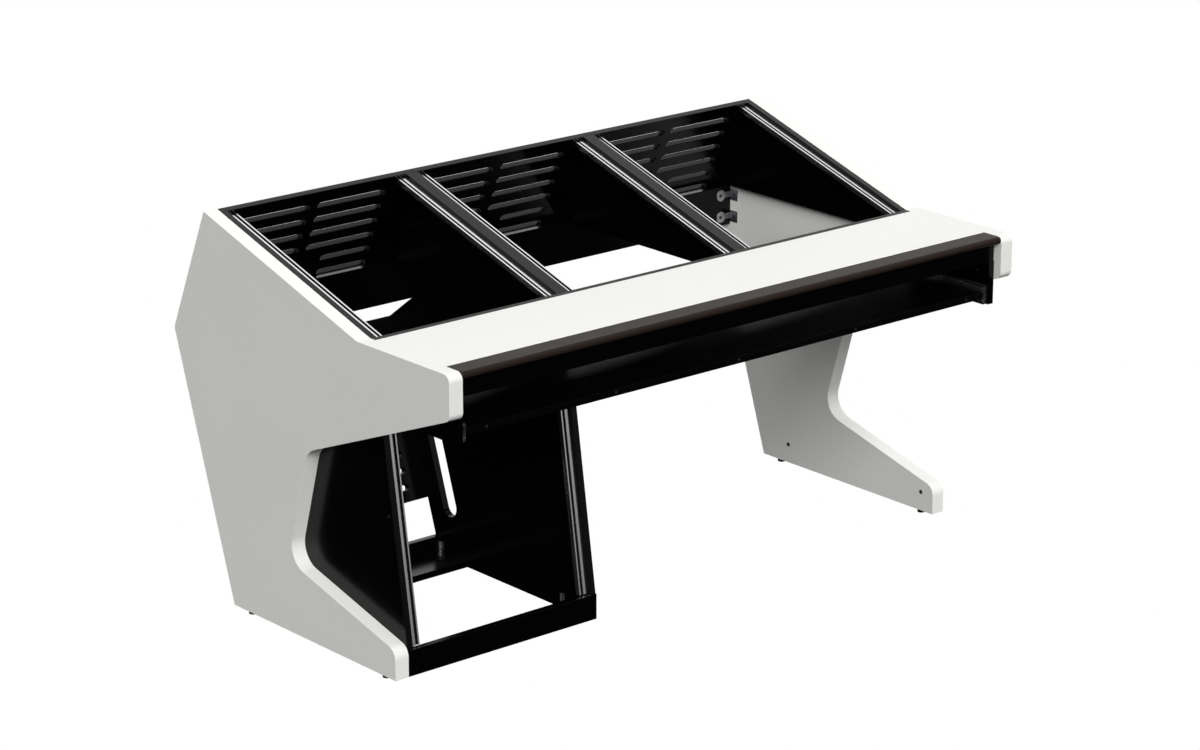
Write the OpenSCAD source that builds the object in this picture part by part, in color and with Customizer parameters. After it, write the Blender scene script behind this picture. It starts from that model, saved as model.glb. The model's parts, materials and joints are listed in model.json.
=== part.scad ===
// Studio desk with three sloping 19 inch rack bays, one upright rack bay under the
// left end and a keyboard tray on ball slides. All sizes are in millimetres.
// The front is where the player sits; +Y points to the back and +X to the right.

/* [Rack] */
// Clear width between the two rails of a rack bay
rack_opening = 450; // [430:1:500]
// Width of a rack rail
rail_w = 24; // [22:0.5:30]
// Height of a rack rail
rail_h = 13; // [11:0.5:16]
// How far the rails lie below the upper edges of the bay walls
rail_drop = 7.3; // [2:0.1:12]
// Width of the slot along the face of a rail
slot_w = 6.2; // [6.1:0.1:7]
// Distance from the middle of the slot to the open side of the rail
slot_lip = 7.55; // [7.4:0.05:9]
// Thickness of the rail face beside the slot
rail_face_t = 2.2; // [1.6:0.1:3]
// Width of the threaded strip in the rail
strip_w = 10; // [8.5:0.5:10.5]
// Thickness of the threaded strip
strip_t = 4; // [3:0.5:5]
// Radius of the tapped holes in the strips
tap_r = 2.5; // [2:0.1:2.6]
// Distance from a strip's lower end to its first rack unit
strip_margin = 2.5; // [1:0.5:15]

/* [Boards] */
// Thickness of the two side panels
side_t = 36; // [25:1:50]
// Thickness of the rack walls
wall_t = 16; // [12:1:22]
// Thickness of the upper and lower back panels
back_t = 16; // [12:1:20]
// Thickness of the board across the front of the rack bays
front_board_t = 16; // [12:1:22]
// Height of that board, which sets how deep the bays are
front_board_h = 58.8; // [50:0.1:70]
// Thickness of the panel behind the knees
modesty_t = 22; // [12:1:25]
// Height of the panel behind the knees
modesty_h = 100; // [70:1:120]
// Drop of that panel's upper edge below the bay walls
modesty_drop = 5; // [2:1:15]

/* [Side outline] */
// Height of the desk top above the lower edge of the side panels
desk_z = 735.8; // [710:0.1:780]
// How far the nose reaches in front of the toe
nose_y = 198.5; // [185:0.5:230]
// Height of the nose of the side panel
nose_h = 98.5; // [90:0.5:120]
// Distance from the toe to the start of the rack slope
rack_front = 114.9; // [105:0.1:130]
// Level length of the rack slope
rack_run = 555; // [520:1:600]
// Rise of the rack slope
rack_rise = 168.8; // [140:0.1:200]
// How far the rearmost corner lies behind the top corner
tail_run = 129.7; // [100:0.1:150]
// How far the rearmost corner lies below the top corner
tail_fall = 295.1; // [270:0.1:320]
// Distance from the toe to the heel along the floor
heel_y = 596.4; // [570:0.1:640]
// Height of the toe
toe_h = 68.5; // [55:0.5:85]
// Distance from the toe to the lower bend of the leg
crook_y = 382.9; // [360:0.1:410]
// Height of the lower bend of the leg
crook_z = 169; // [150:1:190]
// Distance from the toe to the upper bend of the leg
neck_y = 302.6; // [280:0.1:330]
// Distance of the upper bend below the desk top
neck_drop = 294; // [270:1:320]
// Radius of the nose and tail corners
nose_r = 18; // [5:1:25]
// Radius of the toe corner
toe_r = 29; // [10:1:35]
// Radius of the lower bend
crook_r = 54; // [30:1:80]
// Radius of the upper bend
neck_r = 48; // [20:1:70]
// Radius where the desk top meets the rack slope
throat_r = 30; // [5:1:60]

/* [Vents] */
// Height of a vent slot
vent_h = 14; // [8:1:22]
// Spacing of the vent rows
vent_pitch = 40; // [34:1:50]
// Distance from a back panel's upper edge to its first vent row
vent_first = 38; // [30:1:45]
// Gap between the two vent columns of a bay
vent_gap = 20; // [12:1:60]
// Distance from a bay wall to the outer ends of the vents
vent_side = 47; // [30:1:60]
// How much shorter the vents in the lowest two upper rows are
vent_short = 50; // [20:1:80]
// Length of the upper back panel down its slope
upper_back_len = 276; // [250:1:290]
// Distance from the tail corner to the upper edge of the lower back panel
lower_back_top = 86; // [75:1:110]
// Length of the lower back panel down its slope
lower_back_len = 432; // [380:1:450]
// Set-back of the lower back panel from the side panels' rear edge
lower_back_inset = 32; // [20:1:50]

/* [Lower rack] */
// Height of the plinth in front of the lower rack
plinth_h = 60; // [40:1:80]
// Thickness of the plinth
plinth_t = 16; // [12:1:22]
// Lean of the lower rack face, from plinth to desk
lower_lean = 95; // [80:1:99]
// Clearance in front of the lower rack face at its foot
lower_front = 4; // [0:1:10]
// Distance from the toe to the rear cable notch in the full-height walls
notch_y = 612; // [590:1:630]
// Height of the lower front corner of that notch, below the desk top
notch_drop = 108.3; // [100:0.1:125]
// Width of the cable slot in the inner wall
cable_slot_w = 50; // [30:1:60]
// Distance of the cable slot from the rear edge of the side panel
cable_slot_inset = 125.3; // [110:0.1:150]
// Distance of the lower end of the cable slot below the tail corner
cable_slot_low = 546; // [480:1:560]
// Distance of the upper end of the cable slot below the tail corner
cable_slot_top = 220; // [180:1:300]
// Depth of the board on the floor at the rear of the lower rack
base_board_d = 118; // [80:1:150]
// Thickness of that board
base_board_t = 16; // [12:1:22]
// Height of the rail that stands on it
base_rail_h = 34; // [24:1:50]
// How far the base board reaches behind the rack wall's heel
base_over = 15; // [10:1:22]

/* [Desk top] */
// Thickness of the desk top and of the board under it
top_t = 18; // [16:1:22]
// Depth of the padded armrest
armrest_d = 57; // [45:1:70]
// Radius of the rounded front edge of the armrest
armrest_r = 8.5; // [5:0.5:8.9]
// Thickness of the apron under the armrest
apron_t = 16; // [12:1:20]
// Height of the apron
apron_h = 42; // [30:1:46]
// Set-back of the apron from the nose of the side panels
apron_set = 18.5; // [12:0.5:24]
// Gap between each end of the apron and the side panel
apron_gap = 5; // [2:0.5:10]

/* [Keyboard tray] */
// Height of the middle of the slides below the desk top
tray_drop = 141.8; // [138:0.1:146]
// Thickness of the keyboard tray
tray_t = 16; // [12:1:18]
// Depth of the keyboard tray
tray_d = 248; // [230:1:250]
// Set-back of the tray's front edge from the nose
tray_set = 26.5; // [24:0.5:30]
// Length of a closed slide
slide_len = 250; // [245:1:255]
// Height of a slide
slide_h = 45; // [43:0.5:50]
// Width of a slide
slide_w = 12.7; // [12:0.1:14]
// Thickness of the tray hangers
hanger_t = 16; // [12:1:20]
// Set-back of the hangers' front edge from the nose
hanger_set = 21.5; // [20:0.5:23]
// Depth of a hanger
hanger_d = 252; // [245:1:258]

/* [Feet] */
// Height of the desk above the floor on its levelling feet
foot_h = 12; // [8:1:20]
// Radius of a foot pad
foot_r = 9.5; // [8:0.5:14]
// Radius of the threaded stem of a foot
stem_r = 4; // [3:0.5:5]
// How far the stem reaches into the side panel
stem_len = 34; // [30:1:38]
// Distance from the toe to the front foot
foot_front = 55; // [35:1:70]
// Distance from the heel to the rear foot
foot_rear = 46; // [35:1:80]

/* [Hidden] */
$fn = 48;
// Angle between the points of a rounded corner
arc_step = 4;
// Height of one rack unit and its three hole heights
unit_h = 44.45;
unit_holes = [6.35, 22.225, 38.1];
// Overlap of a cut past the face that it opens
cut = 1;
// Play round a part that lies loose in another
play = 0.2;
// Gap where two pieces meet without pressing on each other
seat = 0.3;
// Radius of a screw's shank, and radius and height of its round head
screw_r = 2;
head_r = 4;
head_t = 1.6;

// Places across the desk, from the left face of the left side panel
bay_w = rack_opening + 2 * rail_w;
bay_step = bay_w + 2 * wall_t;
in_left = side_t;
in_right = side_t + 3 * bay_step;
desk_w = in_right + side_t;
in_w = in_right - in_left;
function bay_x(i) = side_t + wall_t + i * bay_step;

// Places in the side view, from the toe on the panels' lower edge
apex = [rack_front + rack_run, desk_z + rack_rise];
tail = [apex[0] + tail_run, apex[1] - tail_fall];
rack_slope = atan2(rack_rise, rack_run);
rack_len = norm([rack_run, rack_rise]);
apex_tilt = atan2(tail_run, tail_fall);
heel_tilt = atan2(tail[0] - heel_y, tail[1]);
bay_floor = desk_z - front_board_h;
board_front = rack_front - front_board_t;

// Upper back panel lies 1 mm inside the side panels' upper rear edge
upper_back_inset = 1;
back_in = upper_back_inset + back_t;
rack_in = rack_len - back_in / cos(apex_tilt - rack_slope);
function back_y(z, d) = apex[0] + (apex[1] - z) * tan(apex_tilt) - d / cos(apex_tilt);
function heel_line(z, d) = heel_y + z * tan(heel_tilt) - d / cos(heel_tilt);
lower_in = lower_back_inset + back_t;
lower_tilt = atan2(bay_floor - plinth_h, lower_lean);

// Middle of the slot, from the wall that carries the rail
slot_x = rail_w - slot_lip;
channel_w = strip_w + 2 * play;
channel_h = strip_t + 2 * play;
// The lower rails stand on the plinth and end below the floor of the upper bays
lower_rail_start = (rail_drop + rail_h) / tan(lower_tilt) + seat;
lower_rail_top_gap = 38;
lower_rail_len = norm([lower_lean, bay_floor - plinth_h]) - lower_rail_top_gap - lower_rail_start;
bolt_r = 2.5;
bolt_head_r = 4.5;
bolt_head_h = 3;
bolt_grip = 8;

// Armrest, apron and boards under the desk top
armrest_rear = armrest_d - nose_y;
apron_front = apron_set - nose_y;
apron_rear = apron_front + apron_t;
armrest_t = top_t - seat;

// Keyboard tray and slides
slide_z = desk_z - tray_drop;
slide_set = 1;
tray_front = tray_set - nose_y;
hanger_front = hanger_set - nose_y;
slide_front = tray_front + slide_set;
slide_bottom = slide_z - slide_h / 2;
sheet = 1.2;
web_gap = 0.3;
cage_t = 0.5;
outer_ball_r = 1.6;
inner_ball_r = 1.4;
ball_gap = 0.05;
race_depth = 0.35;
cage_share = 0.4;
cage_balls = 7;
// Middle and inner members are a little shorter than the outer one
member_inset = 1;
member_len = slide_len - 2 * member_inset;
// Width of a flange beyond the line of the balls
mouth = 2.2;
// Width of a cage strip beside its balls
cage_side = 0.5;
middle_x = sheet + 2 * web_gap + cage_t;
outer_flange = slide_h / 2 - sheet;
outer_ball_z = outer_flange - outer_ball_r - ball_gap + race_depth;
middle_flange = outer_ball_z - outer_ball_r - ball_gap + race_depth;
inner_ball_z = middle_flange - sheet - inner_ball_r - ball_gap + race_depth;
inner_flange = inner_ball_z - inner_ball_r - ball_gap + race_depth;
ball_x = slide_w / 2;

// Levelling feet
foot_x = [side_t / 2, desk_w - side_t / 2];
foot_y = [foot_front, heel_y - foot_rear];
insert_r = 6;
insert_len = 22;
stem_room = 4;
fit = 0.05;

// The model stands with its box centred over the origin and its feet on z = 0
tail_turn = apex_tilt + heel_tilt;
tail_mid = [tail[0] - nose_r * cos((apex_tilt - heel_tilt) / 2) / cos(tail_turn / 2), tail[1]];
rear_y = tail_mid[0] + nose_r;
mid_y = (rear_y - nose_y) / 2;

module place() {
    translate([-desk_w / 2, -mid_y, foot_h]) children();
}

// One board: a side-view outline pulled across the desk from x over a width t
module board(x, t) {
    translate([x, 0, 0]) rotate([90, 0, 90]) linear_extrude(height = t) children();
}

// Outline with corners [y, z, radius], each rounded by an arc
function unit(v) = v / norm(v);
function turn(a) = a > 180 ? a - 360 : a < -180 ? a + 360 : a;
function corner(p, q, s) =
    q[2] == 0 ? [[q[0], q[1]]] :
    let (
        c = [q[0], q[1]],
        u = unit([p[0], p[1]] - c),
        v = unit([s[0], s[1]] - c),
        half = acos(u * v) / 2,
        mid = c + unit(u + v) * q[2] / sin(half),
        from = c + u * q[2] / tan(half) - mid,
        to = c + v * q[2] / tan(half) - mid,
        start = atan2(from[1], from[0]),
        sweep = turn(atan2(to[1], to[0]) - start),
        n = ceil(abs(sweep) / arc_step)
    )
    [for (i = [0:n]) mid + q[2] * [cos(start + sweep * i / n), sin(start + sweep * i / n)]];
function rounded(pts) =
    let (n = len(pts))
    [for (i = [0:n - 1]) each corner(pts[(i + n - 1) % n], pts[i], pts[(i + 1) % n])];

// Frames along the three sloping faces: +Y runs up the slope, +Z stands out of it
module upper_slope() {
    translate([0, rack_front, desk_z]) rotate([rack_slope, 0, 0]) children();
}
module lower_rail_frame() {
    translate([0, lower_front, plinth_h]) rotate([lower_tilt, 0, 0])
        translate([0, lower_rail_start, 0]) children();
}
// Frames on the two rear edges: +Z runs up the edge, +Y points out of the back
module upper_rear() {
    translate([0, apex[0], apex[1]]) rotate([apex_tilt, 0, 0]) children();
}
module lower_rear() {
    translate([0, tail[0], tail[1]]) rotate([-heel_tilt, 0, 0]) children();
}

// A cylinder along X
module rod(x, r, len) {
    translate([x, 0, 0]) rotate([0, 90, 0]) cylinder(r = r, h = len);
}

// A slot with round ends, len long and h high, cut along Y
module vent(x, z, len, depth_from, depth_to) {
    r = vent_h / 2;
    translate([x, depth_to, z]) rotate([90, 0, 0]) linear_extrude(height = depth_to - depth_from) {
        translate([r, -r]) square([len - vent_h, vent_h]);
        translate([r, 0]) circle(r = r);
        translate([len - r, 0]) circle(r = r);
    }
}

// Two mirrored columns of vents, centred on x; the last short_rows rows are shorter
module vent_field(x, rows, short_rows, depth_from, depth_to) {
    long = bay_w / 2 - vent_gap / 2 - vent_side;
    for (k = [0:rows - 1]) {
        trim = k < rows - short_rows ? 0 : vent_short;
        z = -vent_first - k * vent_pitch;
        vent(x + vent_gap / 2 + trim, z, long - trim, depth_from, depth_to);
        vent(x - vent_gap / 2 - long, z, long - trim, depth_from, depth_to);
    }
}
upper_rows = floor((upper_back_len - vent_first - vent_h) / vent_pitch) + 1;
lower_rows = floor((lower_back_len - vent_first - vent_h) / vent_pitch) + 1;

// Side panels
module side_panel(x) {
    difference() {
        board(x, side_t) polygon(rounded([
            [apex[0], apex[1], 0],
            [tail[0], tail[1], nose_r],
            [heel_y, 0, 0],
            [0, 0, 0],
            [0, toe_h, toe_r],
            [crook_y, crook_z, crook_r],
            [neck_y, desk_z - neck_drop, neck_r],
            [-nose_y, desk_z - nose_h, nose_r],
            [-nose_y, desk_z, nose_r],
            [rack_front, desk_z, throat_r]
        ]));
        for (y = foot_y) translate([x + side_t / 2, y, -cut])
            cylinder(r = insert_r, h = stem_len + stem_room + cut);
    }
}

// Two bolts in the right leg: their height, their distances from toe and heel, and their size
panel_bolt_z = 47;
panel_bolt_front = 40;
panel_bolt_rear = 89.4;
panel_bolt_y = [panel_bolt_front, heel_y - panel_bolt_rear];
panel_bolt_r = 3.5;
panel_bolt_len = 24;
panel_head_r = 5;

module left_side_panel() {
    color("gainsboro") place() side_panel(0);
}
module right_side_panel() {
    color("gainsboro") place() difference() {
        side_panel(in_right);
        for (y = panel_bolt_y) translate([0, y, panel_bolt_z])
            rod(in_right - cut, panel_bolt_r, panel_bolt_len + cut);
    }
}
module panel_bolts() {
    color("dimgray") place() for (y = panel_bolt_y) translate([0, y, panel_bolt_z]) {
        rod(in_right, panel_bolt_r - fit, panel_bolt_len - cut);
        rod(in_right - head_t, panel_head_r, head_t);
    }
}

// Outline of the part of a wall beside a sloping bay
wall_top_rear = [rack_front + rack_in * cos(rack_slope), desk_z + rack_in * sin(rack_slope)];
wall_floor_rear = [back_y(bay_floor, back_in), bay_floor];
module bay_outline() {
    polygon([[rack_front, bay_floor], [rack_front, desk_z], wall_top_rear, wall_floor_rear]);
}

// Outline of a wall that goes down to the floor beside the lower rack
notch_r = 8;
module tall_outline() {
    panel_top = tail[1] - lower_back_top * cos(heel_tilt) + lower_in * sin(heel_tilt);
    polygon(rounded([
        [rack_front, desk_z, 0],
        [wall_top_rear[0], wall_top_rear[1], 0],
        [wall_floor_rear[0], wall_floor_rear[1], 0],
        [notch_y, bay_floor, 0],
        [notch_y, desk_z - notch_drop, notch_r],
        [heel_line(panel_top, lower_in), panel_top, 0],
        [heel_line(0, lower_in), 0, 0],
        [plinth_t, 0, 0],
        [plinth_t, plinth_h, 0],
        [lower_front, plinth_h, 0],
        [board_front, bay_floor, 0],
        [rack_front, bay_floor, 0]
    ]));
}

// Places of the bolts along a rail, from its lower end
rail_bolt_places = [0.08, 0.5, 0.92];
function rail_bolt_s(len) = [for (f = rail_bolt_places) f * len];

// Bores for rail bolts; the head sits in the face at x, the shank points to dir
module bolt_bores(x, dir, len) {
    for (s = rail_bolt_s(len)) translate([x, s, -rail_drop - rail_h / 2]) scale([dir, 1, 1]) {
        rod(-cut, bolt_head_r, bolt_head_h + cut);
        rod(-cut, bolt_r, wall_t + bolt_grip + cut);
    }
}

// A wall x to x + wall_t that carries a rail on the side that dir points to
module wall_bores(x, dir) {
    face = dir > 0 ? x : x + wall_t;
    upper_slope() bolt_bores(face, dir, rack_in);
}

module left_outer_wall() {
    x = in_left;
    color("#141414") place() difference() {
        board(x, wall_t) tall_outline();
        wall_bores(x, 1);
        lower_rail_frame() bolt_bores(x, 1, lower_rail_len);
    }
}
module inner_rack_wall() {
    x = bay_x(0) + bay_w;
    color("#141414") place() difference() {
        board(x, wall_t) tall_outline();
        wall_bores(x, -1);
        lower_rail_frame() bolt_bores(x + wall_t, -1, lower_rail_len);
        lower_rear() board(x - cut, wall_t + 2 * cut) {
            len = cable_slot_low - cable_slot_top;
            translate([-cable_slot_inset, -cable_slot_low]) {
                translate([-cable_slot_w / 2, 0]) square([cable_slot_w, len]);
                circle(d = cable_slot_w);
                translate([0, len]) circle(d = cable_slot_w);
            }
        }
    }
}
module bay_wall(x, dir) {
    color("#141414") place() difference() {
        board(x, wall_t) bay_outline();
        wall_bores(x, dir);
    }
}
module bay_2_left_wall() bay_wall(bay_x(1) - wall_t, 1);
module bay_2_right_wall() bay_wall(bay_x(1) + bay_w, -1);
module bay_3_left_wall() bay_wall(bay_x(2) - wall_t, 1);
module bay_3_right_wall() bay_wall(bay_x(2) + bay_w, -1);

// Upper back panel, mitred to the rack slope along its upper edge
module upper_back_panel() {
    miter = tan(apex_tilt - rack_slope);
    color("#141414") place() upper_rear() difference() {
        board(in_left, in_w) polygon([
            [-upper_back_inset, upper_back_inset * miter],
            [-back_in, back_in * miter],
            [-back_in, -upper_back_len],
            [-upper_back_inset, -upper_back_len]
        ]);
        for (i = [0:2])
            vent_field(bay_x(i) + bay_w / 2, upper_rows, 2, -back_in - cut, cut);
    }
}

// Lower back panel of the upright rack
module lower_back_panel() {
    color("#141414") place() lower_rear() difference() {
        translate([in_left, -lower_in, -lower_back_top - lower_back_len])
            cube([bay_step, back_t, lower_back_len]);
        translate([0, 0, -lower_back_top])
            vent_field(bay_x(0) + bay_w / 2, lower_rows, 0, -lower_in - cut, -lower_back_inset + cut);
    }
}

// Screws that hold both back panels to the walls, flush in their rear faces
upper_back_screws = [30, 150];
lower_back_screws = [30, 210, 400];
module back_panel_screws() {
    walls = [for (i = [0:3]) side_t + i * bay_step + (i == 0 ? wall_t / 2 : i == 3 ? -wall_t / 2 : 0)];
    color("#303030") place() {
        upper_rear() for (x = walls, z = upper_back_screws)
            translate([x, 0, -z]) button_screw(upper_back_inset);
        lower_rear() for (x = [in_left + wall_t / 2, in_left + bay_step - wall_t / 2], z = lower_back_screws)
            translate([x, 0, -z - lower_back_top]) button_screw(lower_back_inset);
    }
}
// A low round head on a panel's rear face
button_t = 0.9;
module button_screw(inset) {
    translate([0, -inset, 0]) rotate([-90, 0, 0]) cylinder(r1 = head_r, r2 = screw_r, h = button_t);
}

// Panel behind the knees; its upper rear edge meets the upper back panel
modesty_z = bay_floor - modesty_drop - modesty_h;
modesty_y = back_y(modesty_z + modesty_h, back_in) - modesty_t;
module modesty_panel() {
    color("#1a1a1a") place() translate([in_left, modesty_y, modesty_z])
        cube([in_w, modesty_t, modesty_h]);
}

// Steel angles that tie that panel to the side panels
bracket_reach = 47;
bracket_h = 28;
bracket_w = 2;
bracket_leg = 26;
bracket_hole_x = 35;
bracket_low = 22.4;
bracket_high = 78;
bracket_z = [modesty_z + bracket_low, modesty_z + bracket_high];
bracket_hole_r = 2.6;
module bracket() {
    rotate([90, 0, 0]) linear_extrude(height = bracket_w) difference() {
        union() {
            translate([0, -bracket_h / 4]) square([bracket_reach - bracket_h / 2, bracket_h / 2]);
            translate([bracket_reach - bracket_h / 2, 0]) circle(d = bracket_h);
        }
        translate([bracket_hole_x, 0]) circle(r = bracket_hole_r);
    }
    difference() {
        translate([0, -bracket_w - bracket_leg, -bracket_h / 2])
            cube([bracket_w, bracket_leg + bracket_w, bracket_h]);
        translate([0, -bracket_w - bracket_leg / 2, 0]) rod(-cut, bracket_hole_r, bracket_w + 2 * cut);
    }
}
module at_brackets() {
    for (z = bracket_z) {
        translate([in_left, modesty_y, z]) children();
        translate([in_right, modesty_y, z]) mirror([1, 0, 0]) children();
    }
}
module modesty_brackets() {
    color("silver") place() at_brackets() bracket();
}
module bracket_screws() {
    color("#404040") place() at_brackets() {
        translate([bracket_hole_x, -bracket_w, 0]) rotate([90, 0, 0]) cylinder(r = head_r, h = head_t);
        translate([bracket_w, -bracket_w - bracket_leg / 2, 0]) rod(0, head_r, head_t);
    }
}

// Board across the front of the sloping bays
module rack_front_board() {
    color("#1a1a1a") place() translate([in_left, board_front, bay_floor])
        cube([in_w, front_board_t, front_board_h]);
}

// Desk top, the board under it, the armrest and the apron
module desk_top() {
    color("white") place() translate([in_left, armrest_rear, desk_z - top_t])
        cube([in_w, board_front - armrest_rear, top_t]);
}
module sub_top() {
    color("#1a1a1a") place() translate([in_left, apron_rear, desk_z - 2 * top_t])
        cube([in_w, board_front - apron_rear, top_t]);
}
module armrest() {
    low = desk_z - armrest_t;
    color("#3a332f") place() board(in_left, in_w) {
        translate([armrest_r - nose_y, low]) square([armrest_d - armrest_r, armrest_t]);
        translate([-nose_y, low + armrest_r]) square([armrest_r, armrest_t - 2 * armrest_r]);
        for (z = [low + armrest_r, desk_z - armrest_r])
            translate([armrest_r - nose_y, z]) circle(r = armrest_r);
    }
}
module apron() {
    color("#1a1a1a") place() translate([in_left + apron_gap, apron_front, desk_z - top_t - seat - apron_h])
        cube([in_w - 2 * apron_gap, apron_t, apron_h]);
}

// Hangers that carry the slides; a notch lets the apron pass in front of them
hanger_low = slide_bottom - 0.5;
hanger_notch = desk_z - top_t - apron_h - 1;
module hanger(x) {
    board(x, hanger_t) polygon([
        [hanger_front, hanger_low],
        [hanger_front + hanger_d, hanger_low],
        [hanger_front + hanger_d, desk_z - 2 * top_t],
        [apron_rear, desk_z - 2 * top_t],
        [apron_rear, hanger_notch],
        [hanger_front, hanger_notch]
    ]);
}
hanger_screw_y = [40, 120, 200];
hanger_screw_rise = 30;
hanger_screw_z = slide_bottom + slide_h + hanger_screw_rise;
module hanger_holes(x) {
    for (y = hanger_screw_y) translate([x, hanger_front + y, hanger_screw_z])
        rod(-cut, screw_r, hanger_t + 2 * cut);
}
module left_tray_hanger() {
    color("#1a1a1a") place() difference() {
        hanger(in_left);
        hanger_holes(in_left);
    }
}
module right_tray_hanger() {
    color("#1a1a1a") place() difference() {
        hanger(in_right - hanger_t);
        hanger_holes(in_right - hanger_t);
    }
}
module hanger_screws() {
    color("#404040") place() for (y = hanger_screw_y) translate([0, hanger_front + y, hanger_screw_z]) {
        rod(in_left, screw_r - fit, hanger_t);
        rod(in_left + hanger_t, head_r, head_t);
        rod(in_right - hanger_t, screw_r - fit, hanger_t);
        rod(in_right - hanger_t - head_t, head_r, head_t);
    }
}

// Ball slides: everything is drawn for the left side, from the hanger's face at x = 0
module mirror_right() {
    translate([desk_w, 0, 0]) mirror([1, 0, 0]) children();
}
module at_slide() {
    translate([in_left + hanger_t, slide_front, slide_z]) children();
}
// A channel along Y: a web at x, flanges w wide, whose outer faces are z_out apart from the middle
module channel(x, w, z_out, web_side, len) {
    translate([x, 0, -z_out]) cube([w, len, sheet]);
    translate([x, 0, z_out - sheet]) cube([w, len, sheet]);
    translate([web_side > 0 ? x + w - sheet : x, 0, -z_out]) cube([sheet, len, 2 * z_out]);
}
// A round groove along Y in both flanges
module race(z, r, len) {
    for (s = [-1, 1]) translate([ball_x, len + cut, s * z]) rotate([90, 0, 0])
        cylinder(r = r, h = len + 2 * cut);
}
module slide_outer() {
    difference() {
        channel(0, slide_w - mouth, slide_h / 2, -1, slide_len);
        race(outer_ball_z, outer_ball_r + ball_gap, slide_len);
    }
}
module slide_middle() {
    translate([0, member_inset, 0]) difference() {
        channel(middle_x, slide_w - mouth - middle_x, middle_flange, -1, member_len);
        race(outer_ball_z, outer_ball_r + ball_gap, member_len);
        race(inner_ball_z, inner_ball_r + ball_gap, member_len);
    }
}
module slide_inner() {
    translate([0, member_inset, 0]) difference() {
        channel(ball_x - mouth, slide_w - ball_x + mouth, inner_flange, 1, member_len);
        race(inner_ball_z, inner_ball_r + ball_gap, member_len);
    }
}
// A cage strip above and one below, each with its row of balls
module ball_rows(z, r) {
    len = slide_len * cage_share;
    step = len / cage_balls;
    for (s = [-1, 1]) translate([ball_x, (slide_len - len) / 2, s * z]) {
        difference() {
            translate([-r - cage_side, 0, -cage_t / 2]) cube([2 * (r + cage_side), len, cage_t]);
            for (i = [0.5:cage_balls]) translate([0, i * step, -cut]) cylinder(r = r + ball_gap, h = 2 * cut);
        }
        for (i = [0.5:cage_balls]) translate([0, i * step, 0]) sphere(r = r);
    }
}
module left_slide_outer() {
    color("#4a4a4c") place() at_slide() slide_outer();
}
module right_slide_outer() {
    color("#4a4a4c") place() mirror_right() at_slide() slide_outer();
}
module left_slide_middle() {
    color("#8d8f92") place() at_slide() slide_middle();
}
module right_slide_middle() {
    color("#8d8f92") place() mirror_right() at_slide() slide_middle();
}
module left_slide_inner() {
    color("#c9cbce") place() at_slide() slide_inner();
}
module right_slide_inner() {
    color("#c9cbce") place() mirror_right() at_slide() slide_inner();
}
module left_outer_balls() {
    color("silver") place() at_slide() ball_rows(outer_ball_z, outer_ball_r);
}
module right_outer_balls() {
    color("silver") place() mirror_right() at_slide() ball_rows(outer_ball_z, outer_ball_r);
}
module left_inner_balls() {
    color("silver") place() at_slide() ball_rows(inner_ball_z, inner_ball_r);
}
module right_inner_balls() {
    color("silver") place() mirror_right() at_slide() ball_rows(inner_ball_z, inner_ball_r);
}

// Keyboard tray between the inner slide members, and the screws in its front edge
tray_x = in_left + hanger_t + slide_w;
tray_w = desk_w - 2 * tray_x;
tray_screw_n = 5;
tray_screw_inset = 54.5;
tray_screw_step = (tray_w - 2 * tray_screw_inset) / (tray_screw_n - 1);
tray_head_r = 3.5;
tray_head_t = 0.8;
module keyboard_tray() {
    color("#1a1a1a") place() translate([tray_x, tray_front, slide_z - tray_t / 2])
        cube([tray_w, tray_d, tray_t]);
}
module tray_screws() {
    color("#404040") place() for (i = [0:tray_screw_n - 1])
        translate([tray_x + tray_screw_inset + i * tray_screw_step, tray_front, slide_z])
            rotate([90, 0, 0]) cylinder(r = tray_head_r, h = tray_head_t);
}

// Foot of the lower rack
module front_plinth() {
    color("#1a1a1a") place() translate([in_left, 0, 0]) cube([bay_step, plinth_t, plinth_h]);
}
base_rear = heel_line(0, lower_in) + base_over;
module base_board() {
    color("#1a1a1a") place() translate([bay_x(0), base_rear - base_board_d, 0])
        cube([bay_w, base_board_d, base_board_t]);
}
module base_rail() {
    color("#1a1a1a") place() translate([bay_x(0), base_rear - wall_t, base_board_t])
        cube([bay_w, wall_t, base_rail_h]);
}
// Small angles low on the inside of both rack walls, near the front and rear feet
cleat_w = 20;
cleat_leg = 10;
cleat_lip = 5;
cleat_t = 2;
cleat_z = base_board_t + seat;
cleat_front = 92;
cleat_y = [cleat_front, base_rear - wall_t - cleat_leg - cleat_t];
module cleat(y) {
    translate([0, y, cleat_z]) {
        difference() {
            cube([cleat_t, cleat_leg, cleat_w]);
            translate([0, cleat_leg / 2, cleat_w / 2]) rod(-cut, 2, cleat_t + 2 * cut);
        }
        translate([0, cleat_leg, 0]) cube([cleat_lip, cleat_t, cleat_w]);
    }
}
module wall_cleats() {
    color("silver") place() for (y = cleat_y) {
        translate([bay_x(0), 0, 0]) cleat(y);
        translate([bay_x(0) + bay_w, 0, 0]) mirror([1, 0, 0]) cleat(y);
    }
}

// Rack rail: an aluminium bar with a T-slot, lying along the slope from y = 0
module rail(len) {
    translate([0, len, 0]) rotate([90, 0, 0]) linear_extrude(height = len) difference() {
        translate([0, -rail_drop - rail_h]) square([rail_w, rail_h]);
        translate([slot_x - slot_w / 2, -rail_drop - rail_face_t - cut])
            square([slot_w, rail_face_t + 2 * cut]);
        translate([slot_x - channel_w / 2, -rail_drop - rail_face_t - channel_h])
            square([channel_w, channel_h]);
    }
}
module rail_bores(len) {
    for (s = rail_bolt_s(len)) translate([0, s, -rail_drop - rail_h / 2]) rod(-cut, bolt_r, bolt_grip + cut);
}
module drilled_rail(len) {
    difference() {
        rail(len);
        rail_bores(len);
    }
}
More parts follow.
